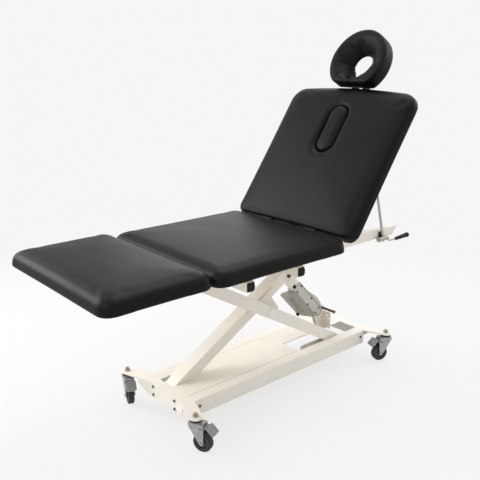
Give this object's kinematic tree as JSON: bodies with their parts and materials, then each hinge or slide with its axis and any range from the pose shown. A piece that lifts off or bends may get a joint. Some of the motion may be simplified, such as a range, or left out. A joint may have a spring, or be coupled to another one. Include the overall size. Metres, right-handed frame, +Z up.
{
  "type": "electric treatment table",
  "caption": "Electric treatment table: a scissor lift on a castored base raises a padded seat with a hinged leg section and a reclining backrest with face hole and ring headrest.",
  "frame": {"origin": "bottom centre of the bounding box at rest: on the floor, midway along the length and the width", "axes": "+X towards the head end, +Y towards the far side, +Z up"},
  "size_m": [1.678, 0.7, 1.4933],
  "materials": {
    "powder_coat": null,
    "steel": null,
    "zinc": null,
    "tyre_rubber": null,
    "grey_plastic": null,
    "black_plastic": null,
    "plywood": null,
    "vinyl": null
  },
  "bodies": {
    "base": {"base_rails": "powder_coat", "deck_plate": "powder_coat", "leg_end_beam": "powder_coat", "head_end_beam": "powder_coat", "arm_foot_cheeks": "powder_coat", "lower_track": "powder_coat", "base_spine": "powder_coat", "actuator_bracket": "powder_coat", "base_pivot_pins": "steel", "castor_stems": "steel", "base_bolts": "steel"},
    "far_arm": {"far_arm": "powder_coat", "far_arm_pins": "steel"},
    "near_arm": {"near_arm": "powder_coat", "lower_roller_axle": "steel"},
    "upper_roller": {"upper_roller": "black_plastic"},
    "lower_roller": {"lower_roller": "black_plastic"},
    "actuator_body": {"actuator_housing": "grey_plastic", "actuator_motor": "black_plastic"},
    "actuator_ram": {"actuator_rod": "steel", "actuator_yoke": "powder_coat"},
    "platform": {"platform_rails": "powder_coat", "cross_tubes": "powder_coat", "tube_end_caps": "black_plastic", "upper_track": "powder_coat", "leg_end_plate": "powder_coat", "back_hinge_leaves": "steel", "platform_pins": "steel", "seat_board": "plywood", "seat_cushion": "vinyl"},
    "backrest": {"back_straps": "steel", "back_board": "plywood", "back_cushion": "vinyl", "stay_bracket": "steel", "headrest_sockets": "powder_coat"},
    "face_plug": {"face_plug": "vinyl"},
    "headrest_posts": {"headrest_posts": "steel"},
    "headrest": {"headrest_plate": "plywood", "headrest_cushion": "vinyl"},
    "stay_rod": {"stay_rod": "steel"},
    "stay_clamp": {"stay_clamp": "steel"},
    "release_lever": {"release_lever": "steel", "lever_grip": "black_plastic"},
    "leg_section": {"leg_straps": "steel", "leg_board": "plywood", "leg_cushion": "vinyl"},
    "leg_stay_tube": {"leg_stay_tube": "steel"},
    "leg_stay_rod": {"leg_stay_rod": "steel"},
    "castor_leg_far": {"castor_fork_leg_far": "zinc"},
    "wheel_leg_far": {"castor_wheel_leg_far": "tyre_rubber"},
    "pedal_leg_far": {"brake_pedal_leg_far": "grey_plastic"},
    "castor_leg_near": {"castor_fork_leg_near": "zinc"},
    "wheel_leg_near": {"castor_wheel_leg_near": "tyre_rubber"},
    "pedal_leg_near": {"brake_pedal_leg_near": "grey_plastic"},
    "castor_head_near": {"castor_fork_head_near": "zinc"},
    "wheel_head_near": {"castor_wheel_head_near": "tyre_rubber"},
    "pedal_head_near": {"brake_pedal_head_near": "grey_plastic"},
    "castor_head_far": {"castor_fork_head_far": "zinc"},
    "wheel_head_far": {"castor_wheel_head_far": "tyre_rubber"},
    "pedal_head_far": {"brake_pedal_head_far": "grey_plastic"}
  },
  "joints": [
    {"name": "swivel_leg_far", "type": "hinge", "parent": "base", "child": "castor_leg_far", "pos_m": [-0.43216, 0.234, 0.128], "axis": [0, 0, 1], "continuous": true},
    {"name": "roll_leg_far", "type": "hinge", "parent": "castor_leg_far", "child": "wheel_leg_far", "pos_m": [-0.44242, 0.20581, 0.0375], "axis": [0.9397, -0.342, 0], "continuous": true},
    {"name": "brake_leg_far", "type": "hinge", "parent": "castor_leg_far", "child": "pedal_leg_far", "pos_m": [-0.44174, 0.20769, 0.0957], "axis": [0.9397, -0.342, 0], "range_deg": [0, 12]},
    {"name": "swivel_leg_near", "type": "hinge", "parent": "base", "child": "castor_leg_near", "pos_m": [-0.43216, -0.234, 0.128], "axis": [0, 0, 1], "continuous": true},
    {"name": "roll_leg_near", "type": "hinge", "parent": "castor_leg_near", "child": "wheel_leg_near", "pos_m": [-0.41948, -0.26119, 0.0375], "axis": [0.9063, 0.4226, 0], "continuous": true},
    {"name": "brake_leg_near", "type": "hinge", "parent": "castor_leg_near", "child": "pedal_leg_near", "pos_m": [-0.42033, -0.25938, 0.0957], "axis": [0.9063, 0.4226, 0], "range_deg": [0, 12]},
    {"name": "swivel_head_near", "type": "hinge", "parent": "base", "child": "castor_head_near", "pos_m": [0.68904, -0.234, 0.128], "axis": [0, 0, 1], "continuous": true},
    {"name": "roll_head_near", "type": "hinge", "parent": "castor_head_near", "child": "wheel_head_near", "pos_m": [0.66122, -0.22276, 0.0375], "axis": [-0.3746, -0.9272, 0], "continuous": true},
    {"name": "brake_head_near", "type": "hinge", "parent": "castor_head_near", "child": "pedal_head_near", "pos_m": [0.66308, -0.22351, 0.0957], "axis": [-0.3746, -0.9272, 0], "range_deg": [0, 12]},
    {"name": "swivel_head_far", "type": "hinge", "parent": "base", "child": "castor_head_far", "pos_m": [0.68904, 0.234, 0.128], "axis": [0, 0, 1], "continuous": true},
    {"name": "roll_head_far", "type": "hinge", "parent": "castor_head_far", "child": "wheel_head_far", "pos_m": [0.70312, 0.26049, 0.0375], "axis": [-0.8829, 0.4695, 0], "continuous": true},
    {"name": "brake_head_far", "type": "hinge", "parent": "castor_head_far", "child": "pedal_head_far", "pos_m": [0.70218, 0.25872, 0.0957], "axis": [-0.8829, 0.4695, 0], "range_deg": [0, 12]},
    {"name": "lift", "type": "hinge", "parent": "base", "child": "far_arm", "pos_m": [-0.37256, 0.026, 0.1], "axis": [0, -1, 0], "range_deg": [0, 12]},
    {"name": "near_arm_turn", "type": "hinge", "parent": "far_arm", "child": "near_arm", "pos_m": [0.07212, -0.064, 0.3557], "axis": [0, -1, 0], "range_deg": [-24, 0]},
    {"name": "platform_turn", "type": "hinge", "parent": "near_arm", "child": "platform", "pos_m": [-0.37256, -0.064, 0.6114], "axis": [0, -1, 0], "range_deg": [0, 12]},
    {"name": "upper_roller_spin", "type": "hinge", "parent": "far_arm", "child": "upper_roller", "pos_m": [0.51679, 0.026, 0.6114], "axis": [0, 1, 0], "continuous": true},
    {"name": "lower_roller_spin", "type": "hinge", "parent": "near_arm", "child": "lower_roller", "pos_m": [0.51679, -0.064, 0.1], "axis": [0, 1, 0], "continuous": true},
    {"name": "actuator_swing", "type": "hinge", "parent": "base", "child": "actuator_body", "pos_m": [0.51144, 0.026, 0.232], "axis": [0, -1, 0], "range_deg": [-2.87, 0]},
    {"name": "ram_swing", "type": "hinge", "parent": "far_arm", "child": "actuator_ram", "pos_m": [0.26216, 0.026, 0.4546], "axis": [0, -1, 0], "range_deg": [-14.87, 0]},
    {"name": "backrest_tilt", "type": "hinge", "parent": "platform", "child": "backrest", "pos_m": [0.25537, 0, 0.69], "axis": [0, -1, 0], "range_deg": [-55, 0]},
    {"name": "stay_rod_turn", "type": "hinge", "parent": "backrest", "child": "stay_rod", "pos_m": [0.53772, -0.216, 0.97334], "axis": [0, -1, 0], "range_deg": [0, 27.5]},
    {"name": "stay_clamp_turn", "type": "hinge", "parent": "platform", "child": "stay_clamp", "pos_m": [0.6448, -0.216, 0.59866], "axis": [0, -1, 0], "range_deg": [-27.5, 0]},
    {"name": "lever_pull", "type": "hinge", "parent": "stay_clamp", "child": "release_lever", "pos_m": [0.6728, -0.216, 0.59616], "axis": [0, -1, 0], "range_deg": [0, 12], "stiffness_Nm_per_rad": 1.2, "springref_deg": -11.46},
    {"name": "plug_pull", "type": "slide", "parent": "backrest", "child": "face_plug", "axis": [-0.8192, 0, 0.5736], "range_m": [0, 0.09]},
    {"name": "headrest_slide", "type": "slide", "parent": "backrest", "child": "headrest_posts", "axis": [0.5736, 0, 0.8192], "range_m": [0, 0.06]},
    {"name": "headrest_tilt", "type": "hinge", "parent": "headrest_posts", "child": "headrest", "pos_m": [0.71424, 0, 1.23585], "axis": [0, -1, 0], "range_deg": [-30, 4]},
    {"name": "leg_tilt", "type": "hinge", "parent": "platform", "child": "leg_section", "pos_m": [-0.41496, 0, 0.6334], "axis": [0, -1, 0], "range_deg": [0, 30]},
    {"name": "leg_stay_tube_turn", "type": "hinge", "parent": "platform", "child": "leg_stay_tube", "pos_m": [-0.38544, 0.112, 0.46598], "axis": [0, -1, 0], "range_deg": [0, 15]},
    {"name": "leg_stay_rod_turn", "type": "hinge", "parent": "leg_section", "child": "leg_stay_rod", "pos_m": [-0.58431, 0.112, 0.61858], "axis": [0, -1, 0], "range_deg": [-15, 0]}
  ],
  "couplings": [
    {"joint": "near_arm_turn", "follows": "lift", "ratio": -2},
    {"joint": "platform_turn", "follows": "lift", "ratio": 1},
    {"joint": "actuator_swing", "follows": "lift", "ratio": -0.239},
    {"joint": "ram_swing", "follows": "lift", "ratio": -1.239},
    {"joint": "stay_rod_turn", "follows": "backrest_tilt", "ratio": -0.5},
    {"joint": "stay_clamp_turn", "follows": "backrest_tilt", "ratio": 0.5},
    {"joint": "leg_stay_tube_turn", "follows": "leg_tilt", "ratio": 0.5},
    {"joint": "leg_stay_rod_turn", "follows": "leg_tilt", "ratio": -0.5}
  ]
}
